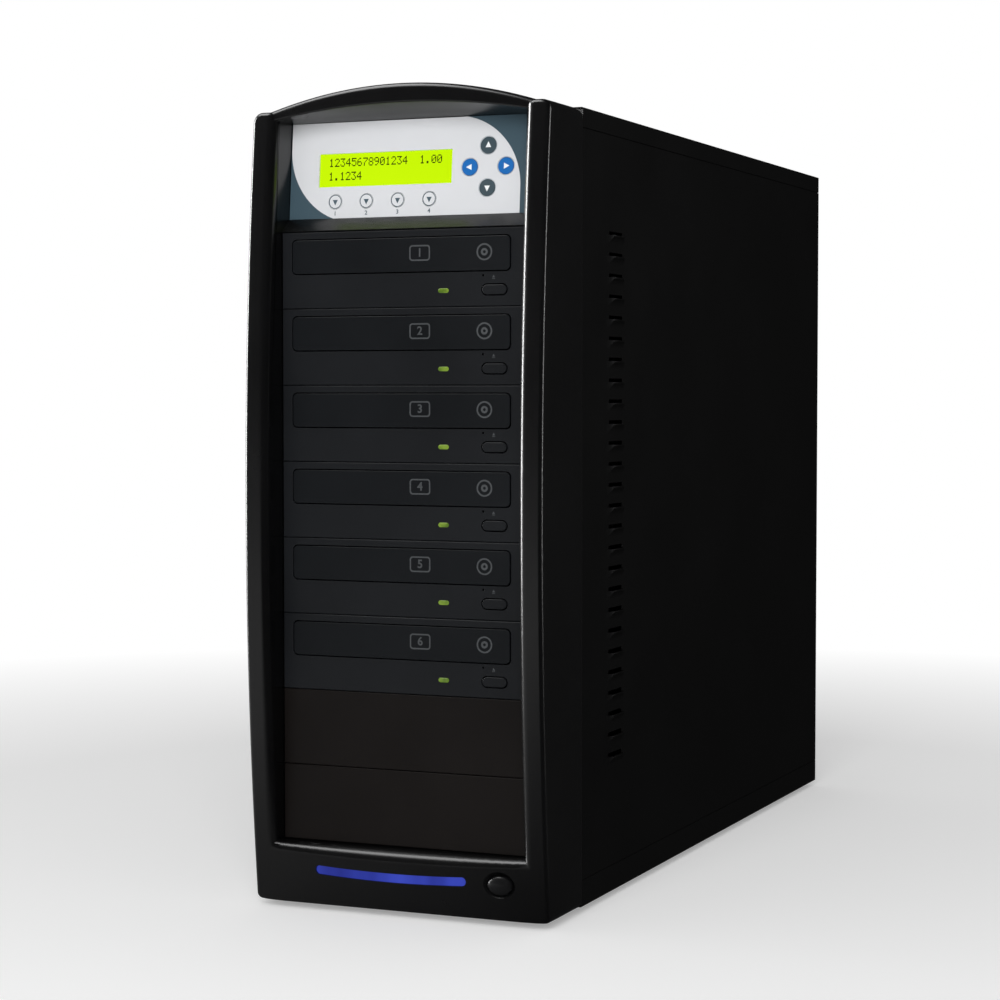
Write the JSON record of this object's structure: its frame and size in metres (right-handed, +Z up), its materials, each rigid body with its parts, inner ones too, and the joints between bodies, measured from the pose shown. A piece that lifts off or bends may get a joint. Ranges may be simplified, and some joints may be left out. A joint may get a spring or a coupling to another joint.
{
  "type": "disc duplicator tower",
  "caption": "Black disc duplicator tower: louvred steel case and bowed moulded bezel around a column of disc drives with loading trays, under a tilted key panel with a green display.",
  "frame": {"origin": "centre of the bounding box's base, on the surface that the feet stand on", "axes": "+Z up, the front faces -Y, +X to the right seen from the front"},
  "size_m": [0.181, 0.5417, 0.4556],
  "materials": {
    "bezel_plastic": "moulded black, fine matt texture",
    "case_paint": "black powder coat",
    "zinc_steel": "galvanised sheet",
    "drive_plastic": "moulded blue-black, satin",
    "blank_plastic": "moulded brown-black, satin",
    "tray_plastic": "moulded black, satin",
    "lamp_lens": "lit green lens",
    "light_bar_lens": "translucent blue, lit",
    "button_plastic": "polished black",
    "panel_film": "printed film over a plate, satin",
    "display_lens": "lit green display",
    "key_blue": "printed blue, satin",
    "key_slate": "printed slate, satin",
    "circuit_board": "green solder mask",
    "switch_plastic": "moulded black",
    "fan_plastic": "moulded black, satin",
    "screw_steel": "bright zinc",
    "foot_rubber": "black rubber"
  },
  "bodies": {
    "root": {"front_bezel": "bezel_plastic", "light_bar": "light_bar_lens", "power_switch": "switch_plastic", "control_panel": "panel_film", "lcd_window": "display_lens", "lcd_module": "switch_plastic", "control_board": "circuit_board", "drive_lamps": "lamp_lens", "drive_cases": "zinc_steel", "base_pan": "case_paint", "top_cover": "case_paint", "left_panel": "case_paint", "right_panel": "case_paint", "rear_panel": "case_paint", "front_frame": "zinc_steel", "drive_cage": "zinc_steel", "psu_case": "zinc_steel", "power_inlet": "switch_plastic", "fan_frames": "fan_plastic", "copy_controller": "circuit_board", "feet": "foot_rubber", "screws": "screw_steel", "blank_cover_1": "blank_plastic", "blank_cover_2": "blank_plastic", "drive_1_fascia": "drive_plastic", "drive_2_fascia": "drive_plastic", "drive_3_fascia": "drive_plastic", "drive_4_fascia": "drive_plastic", "drive_5_fascia": "drive_plastic", "drive_6_fascia": "drive_plastic"},
    "drive_1_loader": {"drive_1_tray": "tray_plastic", "drive_1_door": "drive_plastic"},
    "drive_1_button": {"drive_1_button": "drive_plastic"},
    "drive_2_loader": {"drive_2_tray": "tray_plastic", "drive_2_door": "drive_plastic"},
    "drive_2_button": {"drive_2_button": "drive_plastic"},
    "drive_3_loader": {"drive_3_tray": "tray_plastic", "drive_3_door": "drive_plastic"},
    "drive_3_button": {"drive_3_button": "drive_plastic"},
    "drive_4_loader": {"drive_4_tray": "tray_plastic", "drive_4_door": "drive_plastic"},
    "drive_4_button": {"drive_4_button": "drive_plastic"},
    "drive_5_loader": {"drive_5_tray": "tray_plastic", "drive_5_door": "drive_plastic"},
    "drive_5_button": {"drive_5_button": "drive_plastic"},
    "drive_6_loader": {"drive_6_tray": "tray_plastic", "drive_6_door": "drive_plastic"},
    "drive_6_button": {"drive_6_button": "drive_plastic"},
    "key_up": {"key_up": "key_slate"},
    "key_down": {"key_down": "key_slate"},
    "key_back": {"key_back": "key_blue"},
    "key_enter": {"key_enter": "key_blue"},
    "key_function_1": {"key_function_1": "key_slate"},
    "key_function_2": {"key_function_2": "key_slate"},
    "key_function_3": {"key_function_3": "key_slate"},
    "key_function_4": {"key_function_4": "key_slate"},
    "power_button": {"power_button": "button_plastic"},
    "power_rocker": {"power_rocker": "switch_plastic"},
    "exhaust_fan": {"exhaust_fan_rotor": "fan_plastic"},
    "psu_fan": {"psu_fan_rotor": "fan_plastic"}
  },
  "joints": [
    {"name": "drive_1_tray_slide", "type": "slide", "parent": "root", "child": "drive_1_loader", "axis": [0, -1, 0], "range_m": [0, 0.138]},
    {"name": "drive_1_button_press", "type": "slide", "parent": "root", "child": "drive_1_button", "axis": [0, 1, 0], "range_m": [0, 0.0012], "stiffness_N_per_m": 250},
    {"name": "drive_2_tray_slide", "type": "slide", "parent": "root", "child": "drive_2_loader", "axis": [0, -1, 0], "range_m": [0, 0.138]},
    {"name": "drive_2_button_press", "type": "slide", "parent": "root", "child": "drive_2_button", "axis": [0, 1, 0], "range_m": [0, 0.0012], "stiffness_N_per_m": 250},
    {"name": "drive_3_tray_slide", "type": "slide", "parent": "root", "child": "drive_3_loader", "axis": [0, -1, 0], "range_m": [0, 0.138]},
    {"name": "drive_3_button_press", "type": "slide", "parent": "root", "child": "drive_3_button", "axis": [0, 1, 0], "range_m": [0, 0.0012], "stiffness_N_per_m": 250},
    {"name": "drive_4_tray_slide", "type": "slide", "parent": "root", "child": "drive_4_loader", "axis": [0, -1, 0], "range_m": [0, 0.138]},
    {"name": "drive_4_button_press", "type": "slide", "parent": "root", "child": "drive_4_button", "axis": [0, 1, 0], "range_m": [0, 0.0012], "stiffness_N_per_m": 250},
    {"name": "drive_5_tray_slide", "type": "slide", "parent": "root", "child": "drive_5_loader", "axis": [0, -1, 0], "range_m": [0, 0.138]},
    {"name": "drive_5_button_press", "type": "slide", "parent": "root", "child": "drive_5_button", "axis": [0, 1, 0], "range_m": [0, 0.0012], "stiffness_N_per_m": 250},
    {"name": "drive_6_tray_slide", "type": "slide", "parent": "root", "child": "drive_6_loader", "axis": [0, -1, 0], "range_m": [0, 0.138]},
    {"name": "drive_6_button_press", "type": "slide", "parent": "root", "child": "drive_6_button", "axis": [0, 1, 0], "range_m": [0, 0.0012], "stiffness_N_per_m": 250},
    {"name": "key_up_press", "type": "slide", "parent": "root", "child": "key_up", "axis": [0, 0.9963, -0.0854], "range_m": [0, 0.0005], "stiffness_N_per_m": 400},
    {"name": "key_down_press", "type": "slide", "parent": "root", "child": "key_down", "axis": [0, 0.9963, -0.0854], "range_m": [0, 0.0005], "stiffness_N_per_m": 400},
    {"name": "key_back_press", "type": "slide", "parent": "root", "child": "key_back", "axis": [0, 0.9963, -0.0854], "range_m": [0, 0.0005], "stiffness_N_per_m": 400},
    {"name": "key_enter_press", "type": "slide", "parent": "root", "child": "key_enter", "axis": [0, 0.9963, -0.0854], "range_m": [0, 0.0005], "stiffness_N_per_m": 400},
    {"name": "key_function_1_press", "type": "slide", "parent": "root", "child": "key_function_1", "axis": [0, 0.9963, -0.0854], "range_m": [0, 0.0005], "stiffness_N_per_m": 400},
    {"name": "key_function_2_press", "type": "slide", "parent": "root", "child": "key_function_2", "axis": [0, 0.9963, -0.0854], "range_m": [0, 0.0005], "stiffness_N_per_m": 400},
    {"name": "key_function_3_press", "type": "slide", "parent": "root", "child": "key_function_3", "axis": [0, 0.9963, -0.0854], "range_m": [0, 0.0005], "stiffness_N_per_m": 400},
    {"name": "key_function_4_press", "type": "slide", "parent": "root", "child": "key_function_4", "axis": [0, 0.9963, -0.0854], "range_m": [0, 0.0005], "stiffness_N_per_m": 400},
    {"name": "power_button_press", "type": "slide", "parent": "root", "child": "power_button", "axis": [0, 1, 0], "range_m": [0, 0.0025], "stiffness_N_per_m": 300},
    {"name": "power_rocker_tilt", "type": "hinge", "parent": "root", "child": "power_rocker", "pos_m": [0.044, 0.26485, 0.373], "axis": [0, 0, 1], "range_deg": [0, 18]},
    {"name": "exhaust_fan_spin", "type": "hinge", "parent": "root", "child": "exhaust_fan", "pos_m": [0, 0.25435, 0.219], "axis": [0, 1, 0], "continuous": true},
    {"name": "psu_fan_spin", "type": "hinge", "parent": "root", "child": "psu_fan", "pos_m": [-0.03, 0.25815, 0.388], "axis": [0, 1, 0], "continuous": true}
  ]
}
